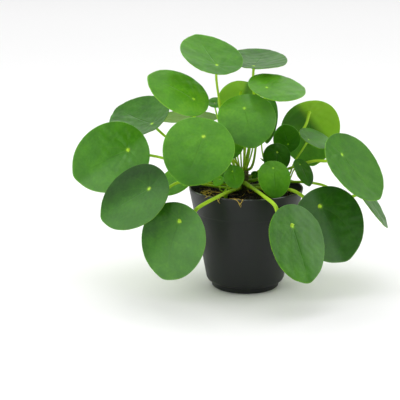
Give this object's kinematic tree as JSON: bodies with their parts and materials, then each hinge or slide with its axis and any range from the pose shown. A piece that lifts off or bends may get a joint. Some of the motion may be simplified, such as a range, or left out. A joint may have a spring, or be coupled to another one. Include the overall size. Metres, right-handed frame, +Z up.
{
  "type": "potted chinese money plant",
  "caption": "House plant with round, coin-shaped leaves on long stalks, growing from a short trunk in a tapered plastic nursery pot filled with soil.",
  "frame": {"origin": "middle of the pot's flat base, on the surface that it stands on", "axes": "+Z up along the pot's axis, -Y towards the front of the plant, +X to the right seen from the front, which is also the plant's longest extent"},
  "size_m": [0.3344, 0.2364, 0.2613],
  "materials": {
    "pot": "matte dark grey moulded plastic",
    "soil": "dark peat with fibres",
    "trunk": "woody, with rings of leaf scars",
    "petiole": "smooth light green stalk",
    "blade": "smooth fleshy leaf with a soft sheen",
    "young_leaf": "smooth fleshy leaf with a soft sheen"
  },
  "bodies": {
    "root": {"pot": "pot", "soil": "soil", "main_stem": "trunk", "top_left_blade": "blade", "top_left_petiole": "petiole", "top_rear_blade": "blade", "top_rear_petiole": "petiole", "upper_right_blade": "blade", "upper_right_petiole": "petiole", "upper_left_blade": "blade", "upper_left_petiole": "petiole", "middle_rear_blade": "blade", "middle_rear_petiole": "petiole", "middle_blade": "blade", "middle_petiole": "petiole", "front_large_blade": "blade", "front_large_petiole": "petiole", "left_rear_blade": "blade", "left_rear_petiole": "petiole", "left_back_blade": "blade", "left_back_petiole": "petiole", "far_left_blade": "blade", "far_left_petiole": "petiole", "low_left_blade": "blade", "low_left_petiole": "petiole", "over_left_rim_blade": "blade", "over_left_rim_petiole": "petiole", "hanging_left_blade": "blade", "hanging_left_petiole": "petiole", "hanging_front_blade": "blade", "hanging_front_petiole": "petiole", "hanging_right_blade": "blade", "hanging_right_petiole": "petiole", "far_right_low_blade": "blade", "far_right_low_petiole": "petiole", "right_outer_blade": "blade", "right_outer_petiole": "petiole", "right_rear_blade": "blade", "right_rear_petiole": "petiole", "back_left_low_blade": "blade", "back_left_low_petiole": "petiole", "back_right_low_blade": "blade", "back_right_low_petiole": "petiole", "back_left_high_blade": "blade", "back_left_high_petiole": "petiole", "back_right_high_blade": "blade", "back_right_high_petiole": "petiole", "young_high_leaf": "young_leaf", "young_low_leaf": "young_leaf", "right_offset_front_blade": "blade", "right_offset_upper_blade": "blade", "right_offset_rear_blade": "blade", "right_offset_outer_blade": "blade", "right_offset_side_blade": "blade", "right_offset_hidden_blade": "blade", "right_offset_stem": "petiole", "left_offset_front_blade": "blade", "left_offset_rear_blade": "blade", "left_offset_small_blade": "blade", "left_offset_stem": "petiole"}
  },
  "joints": []
}
